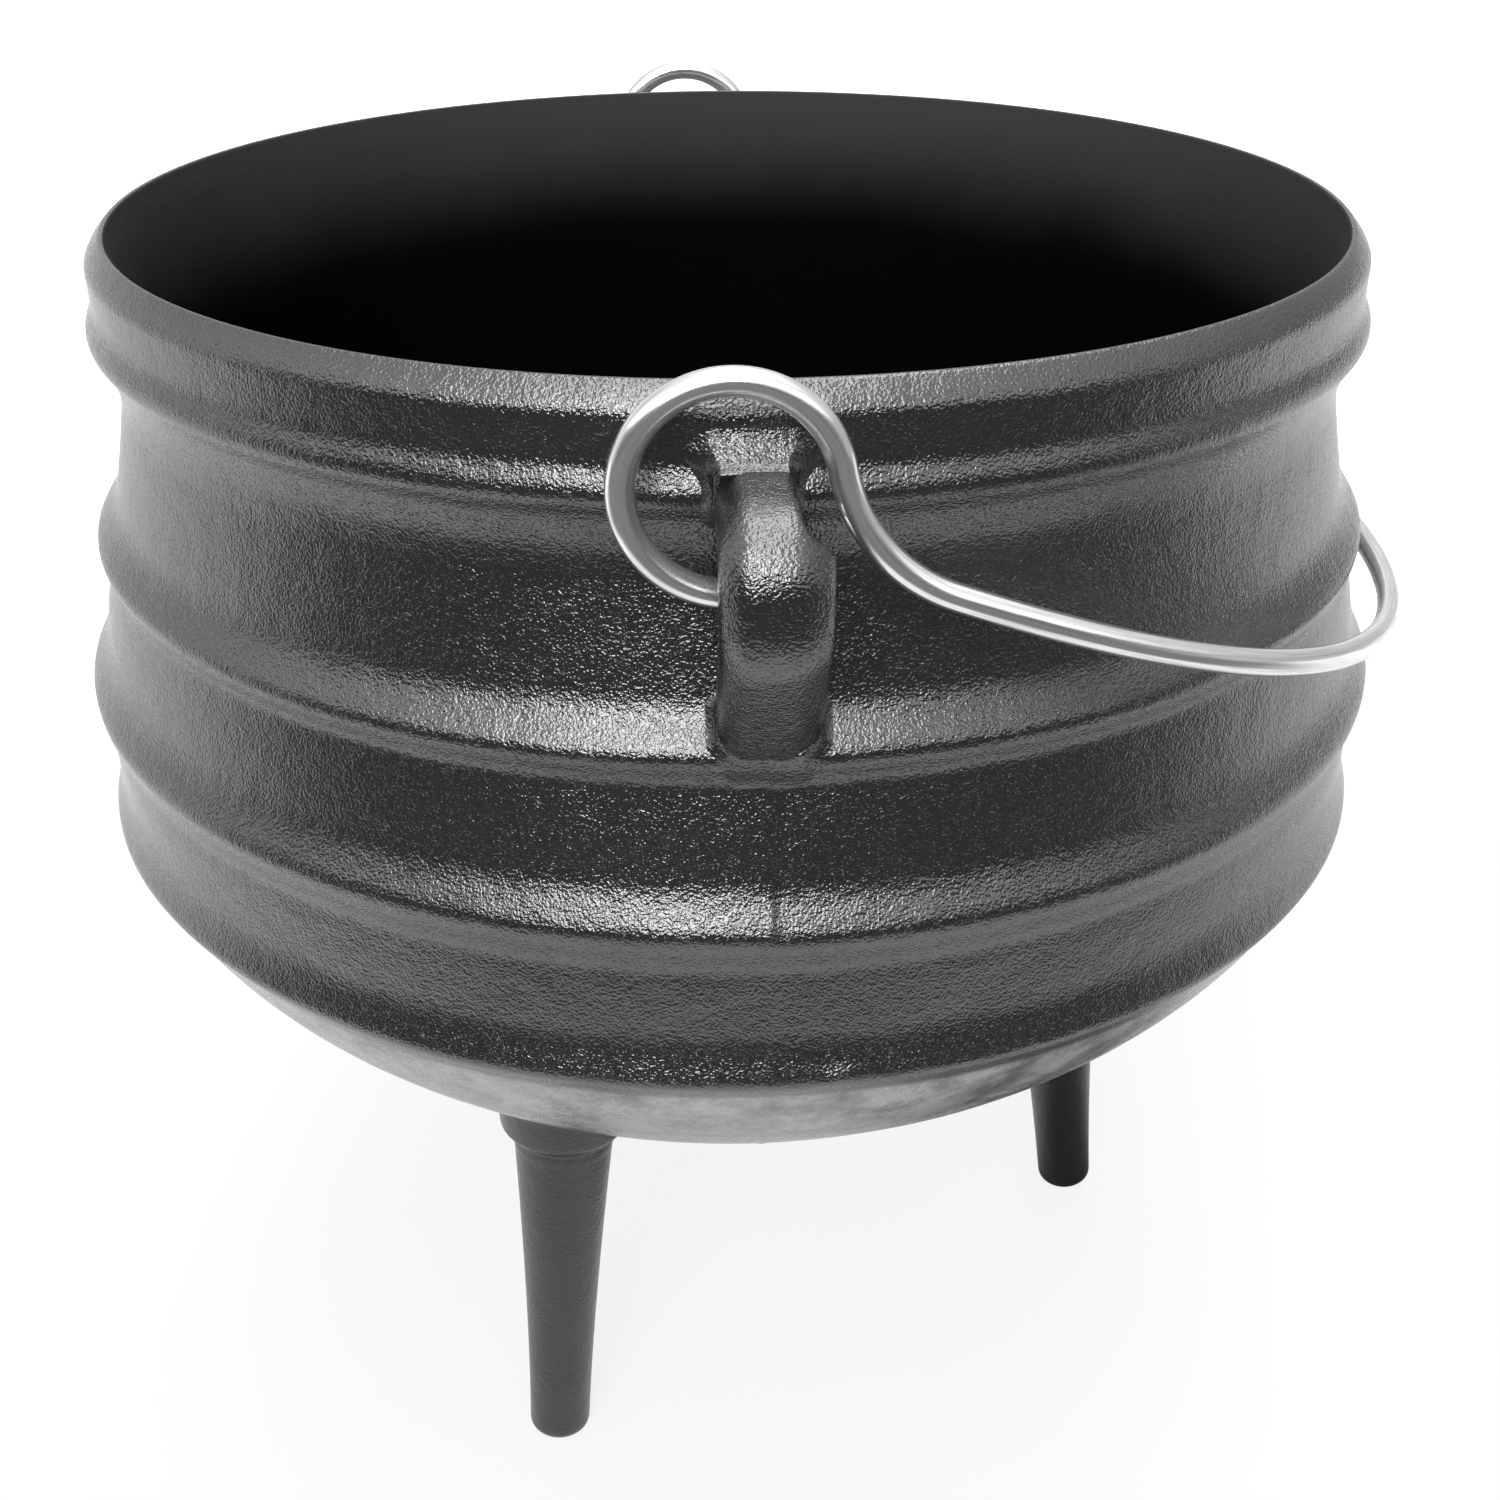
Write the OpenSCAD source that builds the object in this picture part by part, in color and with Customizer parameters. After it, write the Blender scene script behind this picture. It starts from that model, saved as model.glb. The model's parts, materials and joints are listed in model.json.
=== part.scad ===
// Three-legged cast-iron cooking pot with a wire bail.
// Origin on the floor under the middle of the pot, +Z up, front ear towards -Y,
// bail lying against the +X side of the belly. All heights inside the pot's outline
// are given as drops below the rim.

/* [Pot] */
// Height of the rim above the floor
pot_h = 260; // [250:1:300]
// Depth of the pot's outside from the rim to the bottom of the belly
pot_depth = 187; // [180:1:195]
// Inside diameter of the mouth at the rim
mouth_d = 240; // [220:1:260]
// Thickness of the cast wall
wall_t = 5; // [4:0.5:6.5]
// Drop of the neck, the narrowest ring of the wall
neck_drop = 31; // [29:0.5:34]
// How steeply the wall leaves the neck, in mm out for each mm down
neck_slope = 0.16; // [0.1:0.01:0.22]
// Drop of the widest ring of the plain wall
belly_drop = 100; // [94:1:108]
// How far the belly stands out beyond the neck
belly_swell = 11.9; // [8:0.1:15]

/* [Base] */
// Drop of the middle of the ellipse that shapes the base
base_centre_drop = 96; // [90:1:100]
// How much wider that ellipse is than the belly
base_swell = 4.6; // [3:0.1:6]

/* [Rim] */
// How far the inside of the mouth opens out above the neck
mouth_flare = 3.1; // [1:0.1:4]
// Drop over which the mouth opens out
mouth_flare_drop = 24; // [18:1:28]
// Width of the flat ring on top of the rim
seat_w = 1; // [0.8:0.1:1.4]
// Drop over which the lip rounds out from the flat ring
lip_drop = 6; // [5:0.5:8]
// How far the rim band stands out from the wall
band_stand = 2.6; // [2:0.1:3.5]
// Drop over which the band fades into the wall below the bead
band_fade = 12; // [9:0.5:13]
// Drop of the bead along the band
bead_drop = 16.6; // [15:0.1:18]
// How far the bead stands out from the band
bead_stand = 1.7; // [1:0.1:2.5]
// Height of the bead above and below its crest
bead_reach = 5.2; // [4:0.1:6]

/* [Ribs] */
// Drops of the crests of the upper, middle and lower rib
rib_drops = [57.4, 87.3, 117.2]; // [50:0.1:120]
// How far each rib stands out from the wall
rib_stands = [3, 2.9, 2.1]; // [1:0.1:4]
// Height of each rib above its crest
rib_rises = [10.4, 10.2, 10]; // [7:0.1:12]
// Height of each rib below its crest
rib_falls = [6.6, 9, 6]; // [5:0.1:10]

/* [Ears] */
// Drop of the flat top of each ear
ear_top_drop = 11.4; // [10:0.1:13]
// How far the ear's outer face stands out from the neck
ear_reach = 28.1; // [26:0.1:32]
// Width of the ear's bar, across the ear
ear_bar_w = 16.4; // [15:0.5:20]
// Thickness of the ear's bar
ear_bar_t = 11.4; // [9:0.1:12]
// Width of the slope along the outer edge of the ear, on the side away from the bow
ear_slope_w = 3.2; // [2:0.1:4]
// Depth of the slopes along the ear's outer edges
ear_slope_t = 3.2; // [2:0.1:4]
// Outer radius of the bend at the top of the ear
ear_top_bend_r = 13; // [12.5:0.5:14]
// Outer radius of the bend at the ear's heel
ear_heel_bend_r = 15; // [13:0.5:16]
// Drop of the heel, where the outer face turns in
ear_heel_drop = 32.4; // [32:0.1:38]
// Angle of the lower arm from upright
ear_lean = 36.7; // [32:0.1:42]
// Width of the top arm, which the bail's ring goes round, from the side away from the bow
ear_arm_w = 11.8; // [9:0.1:14]
// Thickness of the top arm
ear_arm_t = 9.6; // [8:0.1:11]
// Angle up from level at which the top bend has half its shoulder, where the bar is wider
ear_shoulder_angle = 55; // [40:1:70]
// Turn of the top bend over which that shoulder grows
ear_shoulder_turn = 26; // [15:1:40]
// Drop at which the hollow above the top arm starts on the rim band
ear_root_drop = 4.5; // [3.5:0.1:6]
// How much wider the top arm grows in that hollow, as a share of its rise
ear_root_flare = 0.35; // [0:0.05:0.5]

/* [Legs] */
// Distance of each foot from the pot's middle
foot_out = 88.4; // [75:1:95]
// Angle by which each leg spreads from upright
leg_spread = 5.9; // [3:0.1:9]
// Diameter of the foot
foot_d = 13.4; // [11:0.5:18]
// Radius round the edge of the foot
foot_edge_r = 2.7; // [1:0.1:3.5]
// Drop of the top of the tapered shank below the rim
shank_top_drop = 183; // [180:1:192]
// Diameter at the top of the shank
shank_top_d = 20; // [16:0.5:22]
// Height of the collar's slope above the shank
collar_l = 6; // [3:0.5:8]
// Diameter at the top of the collar
collar_d = 27; // [23:0.5:32]

/* [Bail] */
// Diameter of the wire
wire_d = 4.5; // [4:0.1:5.5]
// Clearance between the ring and the farthest corner of the ear's top arm
ring_clear = 1.25; // [0.8:0.05:3]
// How far the ring's middle lies to the side of the ear, away from the bow
ring_side = 5.7; // [3:0.1:7]
// How far the ring's middle lies above the middle of the ear's top arm
ring_lift = 3.5; // [1:0.1:5]
// Clearance between the wire and the inner face of the ear's bar
ring_bar_gap = 4.1; // [2:0.1:5]
// Angle of the opening in the ring, from its free end up to the stem
ring_opening = 52; // [40:1:80]
// Middle-line radius of the bend where the ring turns into the stem
stem_bend_r = 27; // [18:0.5:32]
// How far the bow's line passes below the ring's middle
bow_offset = 5.2; // [3:0.1:8]
// Drop of the bow's far end where it lies against the pot
bow_rest_drop = 67.9; // [64:0.1:72]
// Clearance between the wire and the pot there
bow_gap = 0.5; // [0.4:0.1:3]
// Squareness of the bow's outline, where 2 is a plain ellipse
bow_square = 2.2; // [2:0.05:2.6]

/* [Hidden] */
leg_names = ["right_leg", "back_left_leg", "front_left_leg"];

mouth_r = mouth_d / 2;
// Outer radius of the wall at the neck
neck_r = mouth_r - mouth_flare + wall_t;
belly_r = neck_r + belly_swell;
seat_r = mouth_r + seat_w;
base_a = belly_r + base_swell;
base_b = pot_depth - base_centre_drop;
wall_step = 1.6;
inner_step = 4;
base_turn = 2.5;
inner_turn = 4;
iron = [0.13, 0.13, 0.135];
wire_grey = [0.72, 0.73, 0.75];

// A rounded bump, 1 at the crest and 0 past its reach above or below
function bump(drop, crest, rise, fall) =
    let (t = drop < crest ? (crest - drop) / rise : (drop - crest) / fall)
    t < 1 ? pow(cos(90 * t), 2) : 0;

// The plain wall: a cubic that leaves the neck at its slope and is upright at the belly
function plain_wall_r(drop) =
    let (span = belly_drop - neck_drop)
    let (t = min(max((drop - neck_drop) / span, 0), 1))
    neck_r + belly_swell * t * t * (3 - 2 * t) + neck_slope * span * t * pow(1 - t, 2);

function ribs_stand(drop, i = 0) = i == len(rib_drops) ? 0 :
    rib_stands[i] * bump(drop, rib_drops[i], rib_rises[i], rib_falls[i]) + ribs_stand(drop, i + 1);

function band_r(drop) =
    let (fade = drop < bead_drop ? 1 : bump(drop, bead_drop, 1, band_fade))
    band_stand * fade + bead_stand * bump(drop, bead_drop, bead_reach, bead_reach);

function wall_r(drop) = plain_wall_r(drop) + band_r(drop) + ribs_stand(drop);

// The lip rounds out from the flat ring to the band
function lip_r(drop) =
    let (t = drop / lip_drop)
    t > 1 ? wall_r(drop) : seat_r + (wall_r(lip_drop) - seat_r) * t * (3 - t) / 2;

function base_r(drop) = base_a * sqrt(max(0, 1 - pow((drop - base_centre_drop) / base_b, 2)));

// Below its crest the lower rib falls to the base instead of the wall
last_rib = len(rib_drops) - 1;
edge_drop = rib_drops[last_rib];
edge_stand = wall_r(edge_drop) - base_r(edge_drop);
function under_r(drop) =
    base_r(drop) + edge_stand * bump(drop, edge_drop, 1, rib_falls[last_rib]);

function outer_r(drop) = drop < edge_drop ? min(lip_r(drop), wall_r(drop)) : under_r(drop);

function inner_base_r(drop) =
    let (t = (drop - base_centre_drop) / (base_b - wall_t))
    (base_a - wall_t) * sqrt(max(0, 1 - t * t));

function inner_wall_r(drop) =
    let (t = min(drop / mouth_flare_drop, 1))
    plain_wall_r(drop) - wall_t + mouth_flare * pow(1 - t, 2);

function inner_r(drop) =
    drop < base_centre_drop ? inner_wall_r(drop) : min(inner_wall_r(drop), inner_base_r(drop));

wall_steps = ceil(edge_drop / wall_step);
outer_line = concat(
    [for (i = [0 : wall_steps - 1]) let (drop = edge_drop * i / wall_steps) [outer_r(drop), -drop]],
    let (start = asin((edge_drop - base_centre_drop) / base_b))
    let (turns = ceil((90 - start) / base_turn))
    [for (i = [0 : turns - 1])
        let (drop = base_centre_drop + base_b * sin(start + (90 - start) * i / turns))
        [under_r(drop), -drop]],
    [[0, -pot_depth]]
);

inner_steps = ceil(base_centre_drop / inner_step);
inner_turns = ceil(90 / inner_turn);
inner_line = concat(
    [for (i = [0 : inner_steps - 1]) let (drop = base_centre_drop * i / inner_steps) [inner_r(drop), -drop]],
    [for (i = [0 : inner_turns - 1])
        let (drop = base_centre_drop + (base_b - wall_t) * sin(90 * i / inner_turns))
        [inner_r(drop), -drop]],
    [[0, wall_t - pot_depth]]
);

function reversed(list) = [for (i = [len(list) - 1 : -1 : 0]) list[i]];

module pot_shell() {
    color(iron)
        translate([0, 0, pot_h])
            rotate_extrude($fn = 180)
                polygon(concat(outer_line, reversed(inner_line)));
}

// The space inside the outer surface, which ears and legs end against
module pot_space() {
    translate([0, 0, pot_h])
        rotate_extrude($fn = 180)
            polygon(concat(outer_line, [[0, 0]]));
}

// Sweeps one closed solid through a list of rings of points
module sweep(rings) {
    n = len(rings[0]);
    last = len(rings) - 1;
    sides = [for (i = [0 : last - 1], k = [0 : n - 1]) let (j = (k + 1) % n)
        each [[i * n + k, (i + 1) * n + k, (i + 1) * n + j], [i * n + k, (i + 1) * n + j, i * n + j]]];
    caps = [[for (k = [0 : n - 1]) k], [for (k = [n - 1 : -1 : 0]) last * n + k]];
    polyhedron([for (ring = rings) each ring], concat(sides, caps));
}

// Each ear is drawn lying down, with X out from the pot, Y up from the rim and Z across,
// away from the bow's side
face_out = neck_r + ear_reach;
half_bar = ear_bar_w / 2;
arm_side = ear_arm_w - half_bar;
top_bend = [face_out - ear_top_bend_r, -ear_top_drop - ear_top_bend_r];
heel_bend = [face_out - ear_heel_bend_r, -ear_heel_drop + ear_heel_bend_r * tan(ear_lean / 2)];
lower_arm_l = ear_reach / sin(ear_lean);
root_steps = 5;
top_bend_steps = 9;
heel_steps = 4;

// Cross-section of the ear at a point of its outer face that looks out at an angle.
// The bow's side is side_w from the middle, and flare widens both sides
function ear_ring(face, angle, thick, side_w, flare = 0) =
    [for (p = [[-arm_side - flare, 0], [half_bar - ear_slope_w + flare, 0],
               [half_bar + flare, ear_slope_t], [half_bar + flare, thick],
               [-side_w - flare, thick], [-side_w - flare, ear_slope_t]])
        [face[0] - p[1] * cos(angle), face[1] - p[1] * sin(angle), p[0]]];

// The hollow above the top arm reaches from the rim band to the start of the top bend
root_r = top_bend[0] - neck_r - band_stand;
root_rise = ear_top_drop - ear_root_drop;
root_start = asin(1 - root_rise / root_r);
function root_ring(angle) =
    let (rise = root_r * (1 - sin(angle)))
    ear_ring([top_bend[0] - root_r * cos(angle), rise - ear_top_drop], 90, ear_arm_t + rise,
             arm_side, ear_root_flare * rise);

function top_bend_ring(angle) =
    let (grown = (ear_shoulder_angle - angle) / ear_shoulder_turn + 0.5)
    let (share = min(max(grown, 0), 1), thick = ear_bar_t + (ear_arm_t - ear_bar_t) * angle / 90)
    ear_ring(top_bend + ear_top_bend_r * [cos(angle), sin(angle)], angle, thick,
             arm_side + (half_bar - arm_side) * share);

function heel_ring(angle, further = 0) =
    ear_ring(heel_bend + ear_heel_bend_r * [cos(angle), sin(angle)] + further * [sin(angle), -cos(angle)],
             angle, ear_bar_t, half_bar);

ear_rings = concat(
    [ear_ring([neck_r - wall_t, -ear_root_drop], 90, ear_arm_t + root_rise, arm_side,
              ear_root_flare * root_rise)],
    [for (i = [0 : root_steps - 1]) root_ring(root_start + (90 - root_start) * i / root_steps)],
    [for (i = [0 : top_bend_steps]) top_bend_ring(90 * (1 - i / top_bend_steps))],
    [for (i = [0 : heel_steps]) heel_ring(-ear_lean * i / heel_steps)],
    [heel_ring(-ear_lean, lower_arm_l)]
);

module ear() {
    color(iron)
        difference() {
            translate([0, 0, pot_h]) rotate([90, 0, -90]) sweep(ear_rings);
            pot_space();
        }
}

// The collar reaches up to the level of the base's middle, inside the pot's outer surface
collar_top = pot_h - base_centre_drop - base_b / 2;
foot_r = foot_d / 2;
shank_l = pot_h - shank_top_drop;
// The foot starts this far below the floor, so that cutting it at the floor leaves it flat
foot_cut = foot_r * tan(leg_spread);
shank_growth = shank_top_d / 2 - foot_r;
leg_line = concat(
    [for (a = [-90 : 15 : 0])
        [foot_r + foot_edge_r * (cos(a) - 1), foot_edge_r * (1 + sin(a)) - foot_cut]],
    [for (t = [0.125 : 0.125 : 1]) [foot_r + shank_growth * pow(t, 1.25), shank_l * t]],
    [[collar_d / 2, shank_l + collar_l], [collar_d / 2 + wall_t, collar_top],
     [0, collar_top], [0, -foot_cut]]
);

module leg(i) {
    color(iron)
        difference() {
            rotate([0, 0, 360 * i / len(leg_names)])
                translate([foot_out, 0, 0])
                    difference() {
                        rotate([0, -leg_spread, 0])
                            rotate_extrude($fn = 64) polygon(leg_line);
                        translate([0, 0, -foot_r])
                            cube([2 * foot_d, 2 * foot_d, foot_d], center = true);
                    }
            pot_space();
        }
}

// Each ring lies in an upright plane beside the ear's bar. The paths below are in that
// plane, X to the side and Y up, measured from the ring's middle
arm_corner = norm([arm_side + ring_side, ring_lift + ear_arm_t / 2]);
ring_r = arm_corner + ring_clear + wire_d / 2;
ring_out = face_out - ear_bar_t - ring_bar_gap - wire_d / 2;
ring_x = -ring_side;
ring_z = pot_h - ear_top_drop - ear_arm_t / 2 + ring_lift;

// The bow lies in a plane that droops from the rings to where the wire meets the pot
bow_end = [outer_r(bow_rest_drop) + bow_gap + wire_d / 2 - ring_x, pot_h - bow_rest_drop - ring_z];
droop = atan2(-bow_end[1], bow_end[0]) - asin(bow_offset / norm(bow_end));
bow_length = sqrt(pow(norm(bow_end), 2) - pow(bow_offset, 2));
stem_angle = asin((stem_bend_r - bow_offset) / (ring_r + stem_bend_r));
// Angle round the ring where the stem leaves it
ring_exit = stem_angle - droop;
bow_start = (ring_r + stem_bend_r) * cos(stem_angle);

wire_sides = 12;
ring_turn = 9;
stem_turn = 8;
bow_turn = 3.75;

function bow_down(x, y) = [x * cos(droop) + y * sin(droop), y * cos(droop) - x * sin(droop)];

// A station holds a point of the middle line and the two directions of its cross-section.
// Across the ring and the stem the first direction is +Y
function flat_station(point, heading) =
    [[ring_x + point[0], -ring_out, ring_z + point[1]], [0, 1, 0], [-sin(heading), 0, cos(heading)]];

ring_free_end = ring_exit + 360 - ring_opening;
ring_steps = ceil((360 - ring_opening) / ring_turn);
ring_path = [for (i = [0 : ring_steps])
    let (a = ring_free_end - (360 - ring_opening) * i / ring_steps)
    flat_station(ring_r * [cos(a), sin(a)], a - 90)];

stem_centre = (ring_r + stem_bend_r) * [cos(ring_exit), sin(ring_exit)];
stem_steps = ceil((90 - droop - ring_exit) / stem_turn);
stem_path = [for (i = [1 : stem_steps])
    let (a = ring_exit + 180 + (90 - droop - ring_exit) * i / stem_steps)
    flat_station(stem_centre + stem_bend_r * [cos(a), sin(a)], a + 90)];

// A quarter of a squared ellipse, from the end of the stem to the far end of the bow
bow_steps = ceil(90 / bow_turn);
function bow_station(a) =
    let (e = 2 / bow_square, bow_l = bow_length - bow_start)
    let (along = bow_start + bow_l * pow(sin(a), e), across = -ring_out * pow(cos(a), e))
    let (run = bow_l * pow(sin(a), e - 1) * cos(a), rise = ring_out * pow(cos(a), e - 1) * sin(a))
    let (size = norm([run, rise]), place = bow_down(along, -bow_offset))
    [[ring_x + place[0], across, ring_z + place[1]],
     [-cos(droop) * rise / size, run / size, sin(droop) * rise / size],
     [sin(droop), 0, cos(droop)]];
bow_path = [for (i = [1 : bow_steps - 1]) bow_station(90 * i / bow_steps)];
bow_tip = bow_down(bow_length, -bow_offset);
tip_station = [[ring_x + bow_tip[0], 0, ring_z + bow_tip[1]], [-cos(droop), 0, sin(droop)],
               [sin(droop), 0, cos(droop)]];

function mirrored(v) = [v[0], -v[1], v[2]];
near_half = concat(ring_path, stem_path, bow_path);
bail_path = concat(near_half, [tip_station],
    [for (station = reversed(near_half)) [for (v = station) mirrored(v)]]);

module bail() {
    color(wire_grey)
        sweep([for (s = bail_path) [for (k = [0 : wire_sides - 1]) let (a = 360 * k / wire_sides)
            s[0] + wire_d / 2 * (cos(a) * s[1] + sin(a) * s[2])]]);
}

pot_shell();
ear();  // front_ear
mirror([0, 1, 0]) ear();  // back_ear
for (i = [0 : len(leg_names) - 1]) leg(i);
bail();
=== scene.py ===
"""A three-legged cast-iron cooking pot with a wire bail: its looks, laid out as an add-on.

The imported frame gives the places. Every piece is a surface worked out with numpy in that frame,
in metres, with +Z up, the front ear towards -Y and the bail against the +X side. Heights in the
pot's outline are drops below the rim.
"""

import json
import math

import bpy
import numpy as np
from bpy.props import FloatProperty, FloatVectorProperty, IntProperty, PointerProperty
from mathutils import Matrix, Vector


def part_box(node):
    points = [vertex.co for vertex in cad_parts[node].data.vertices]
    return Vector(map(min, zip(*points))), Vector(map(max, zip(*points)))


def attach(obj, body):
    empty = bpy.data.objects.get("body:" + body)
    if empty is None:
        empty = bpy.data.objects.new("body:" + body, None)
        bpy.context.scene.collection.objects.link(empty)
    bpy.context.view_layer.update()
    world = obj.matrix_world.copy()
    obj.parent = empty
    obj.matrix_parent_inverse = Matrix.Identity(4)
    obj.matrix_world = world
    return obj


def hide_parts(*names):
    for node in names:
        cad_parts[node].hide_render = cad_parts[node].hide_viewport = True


bl_info = {
    "name": "Iron Cooking Pot",
    "version": (1, 0, 0),
    "blender": (4, 5, 0),
    "location": "3D View > Sidebar > Pot",
    "description": "Dresses the frame of a three-legged iron pot and sets its stage",
    "category": "Object",
}

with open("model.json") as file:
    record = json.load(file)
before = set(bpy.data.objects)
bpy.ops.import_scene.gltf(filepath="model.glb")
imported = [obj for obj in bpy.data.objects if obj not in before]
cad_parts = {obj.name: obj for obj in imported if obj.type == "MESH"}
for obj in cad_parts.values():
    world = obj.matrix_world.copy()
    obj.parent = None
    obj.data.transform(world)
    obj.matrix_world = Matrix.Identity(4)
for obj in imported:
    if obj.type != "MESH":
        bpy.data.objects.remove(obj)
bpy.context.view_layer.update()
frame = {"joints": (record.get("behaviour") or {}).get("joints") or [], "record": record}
POT_LOW, POT_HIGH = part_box("pot_shell")
EAR_LOW, EAR_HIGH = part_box("front_ear")
FEET = {m["name"]: m["pos_m"] for m in frame["record"]["mounts"] if m["name"].endswith("_foot")}
SWING = next(j for j in frame["joints"] if j["name"] == "bail_swing")
MM = 0.001


def length(name, description, default):
    """A size in metres."""
    return FloatProperty(name=name, description=description, default=default, unit="LENGTH", precision=5)


def turn(name, description, degrees):
    """An angle, given in degrees and kept in radians."""
    return FloatProperty(name=name, description=description, default=math.radians(degrees),
                         subtype="ANGLE")


def share(name, description, default, low=0.0, high=1.0):
    """A plain number between two limits."""
    return FloatProperty(name=name, description=description, default=default, min=low, max=high,
                         precision=4)


def lengths(name, description, default):
    """Three sizes in metres, for the upper, middle and lower rib."""
    return FloatVectorProperty(name=name, description=description, default=default, size=3,
                               unit="LENGTH", precision=5)


def tint(name, description, default):
    """A plain colour."""
    return FloatVectorProperty(name=name, description=description, default=default, size=3,
                               subtype="COLOR", min=0.0, max=1.0)


class PotSizes(bpy.types.PropertyGroup):
    """Sizes of the cast shell"""
    rim_height: length("Rim height", "Height of the rim above the floor", POT_HIGH.z)
    depth: length("Depth", "Depth of the outside from the rim to its bottom", POT_HIGH.z - POT_LOW.z)
    mouth: length("Mouth radius", "Inside radius at the rim", 120 * MM)
    wall: length("Wall", "Thickness of the cast wall", 5 * MM)
    neck_drop: length("Neck drop", "Drop of the narrowest ring of the wall", 31 * MM)
    neck_slope: share("Neck slope", "How steeply the wall leaves the neck", 0.16)
    belly_drop: length("Belly drop", "Drop of the widest ring of the plain wall", 100 * MM)
    belly_swell: length("Belly swell", "How far the belly stands out beyond the neck", 11.9 * MM)
    base_drop: length("Base drop", "Drop of the middle of the base's ellipse", 96 * MM)
    base_swell: length("Base swell", "How much wider that ellipse is than the belly", 4.6 * MM)
    flare: length("Mouth flare", "How far the inside opens out above the neck", 3.1 * MM)
    flare_drop: length("Flare drop", "Drop over which the mouth opens out", 24 * MM)
    seat: length("Seat", "Width of the flat ring on the rim", 1 * MM)
    lip_drop: length("Lip drop", "Drop over which the lip rounds out", 4.6 * MM)
    band_stand: length("Band", "How far the rim band stands out", 2.6 * MM)
    band_fade: length("Band fade", "Drop over which the band fades out", 12 * MM)
    bead_drop: length("Bead drop", "Drop of the bead on the band", 16.6 * MM)
    bead_stand: length("Bead", "How far the bead stands out", 1.7 * MM)
    bead_reach: length("Bead reach", "Half height of the bead", 5.2 * MM)
    rib_drops: lengths("Rib drops", "Drops of the three crests", (57.4 * MM, 87.3 * MM, 117.2 * MM))
    rib_stands: lengths("Rib stands", "How far the ribs stand out", (3 * MM, 2.9 * MM, 2.1 * MM))
    rib_rises: lengths("Rib rises", "Heights above the crests", (8.5 * MM, 9.2 * MM, 9.5 * MM))
    rib_falls: lengths("Rib falls", "Heights below the crests", (6.6 * MM, 9 * MM, 6 * MM))
    rib_crowding: share("Rib crowding", "Under 1 brings the steepest part of a rib near its crest", 0.72)
    seam: length("Mould seam", "How far the seam of the two mould halves stands out", 0.28 * MM)
    mismatch: length("Mismatch", "How much lower one mould half sits at the seam", 0.55 * MM)
    waviness: length("Waviness", "Unevenness of the casting", 0.22 * MM)
    columns: IntProperty(name="Columns", description="Steps round the shell", default=440, min=60)


class EarSizes(bpy.types.PropertyGroup):
    """Sizes of the two cast ears"""
    face: length("Outer face", "Distance of the ear's outer face from the middle", -EAR_LOW.y)
    top_drop: length("Top drop", "Drop of the flat top", 11.4 * MM)
    bar: length("Bar", "Width of the bar", 16.4 * MM)
    bar_depth: length("Bar depth", "Thickness of the bar", 11.4 * MM)
    slope: length("Slope", "Width and depth of the slopes along the outer edges", 3.2 * MM)
    arm: length("Arm", "Width of the top arm", 11.8 * MM)
    arm_depth: length("Arm depth", "Thickness of the top arm", 9.6 * MM)
    shoulder: turn("Shoulder", "Angle of the top bend at which the bar widens", 55)
    shoulder_turn: turn("Shoulder turn", "Turn over which the bar widens", 26)
    top_bend: length("Top bend", "Outer radius of the top bend", 13 * MM)
    heel_bend: length("Heel bend", "Outer radius of the heel", 15 * MM)
    heel_drop: length("Heel drop", "Drop of the heel", 32.4 * MM)
    lean: turn("Lean", "Angle of the lower arm from upright", 36.7)
    rounding: length("Rounding", "How far the cast edges are rounded", 1.9 * MM)
    root_fillet: length("Root fillet", "Reach of the hollow above the top arm", 6.2 * MM)
    side_fillet: length("Side fillet", "Reach of the hollow beside the top arm", 2.4 * MM)
    heel_fillet: length("Heel fillet", "Reach of the hollow round the lower arm", 2.4 * MM)


class LegSizes(bpy.types.PropertyGroup):
    """Sizes of the three cast legs"""
    spread: turn("Spread", "Angle of the legs from upright", 6.5)
    foot: length("Foot radius", "Radius of the foot", 6.7 * MM)
    foot_edge: length("Foot edge", "Radius round the edge of the foot", 2.7 * MM)
    shank: length("Shank", "Length of the tapered shank", 80.5 * MM)
    shank_top: length("Shank top", "Radius at the top of the shank", 10.8 * MM)
    collar_length: length("Collar slope", "Height of the collar's slope", 2.5 * MM)
    collar: length("Collar radius", "Radius at the top of the collar's slope", 13.6 * MM)
    ring_height: length("Ring height", "Height of the faint ring below the collar", 78.5 * MM)
    fillet: length("Fillet", "Radius of the fillet against the base", 4.5 * MM)


class BailSizes(bpy.types.PropertyGroup):
    """Sizes of the wire bail"""
    wire: length("Wire radius", "Radius of the wire", 2.25 * MM)
    ring: length("Ring radius", "Middle-line radius of the rings", 15.965 * MM)
    ring_out: length("Ring distance", "Distance of each ring from the middle", 132.25 * MM)
    opening: turn("Opening", "Angle of the opening in each ring", 52)
    stem_bend: length("Stem bend", "Middle-line radius where the ring turns into the stem", 27 * MM)
    bow_offset: length("Bow offset", "How far the bow passes below the rings' middles", 5.2 * MM)
    tip_out: length("Tip", "Distance of the bow's tip from the middle", 132.65 * MM)
    tip_drop: length("Tip drop", "Drop of the bow's tip below the rim", 67.9 * MM)
    squareness: share("Squareness", "2 is a plain ellipse", 2.2, 1.5, 4.0)


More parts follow.
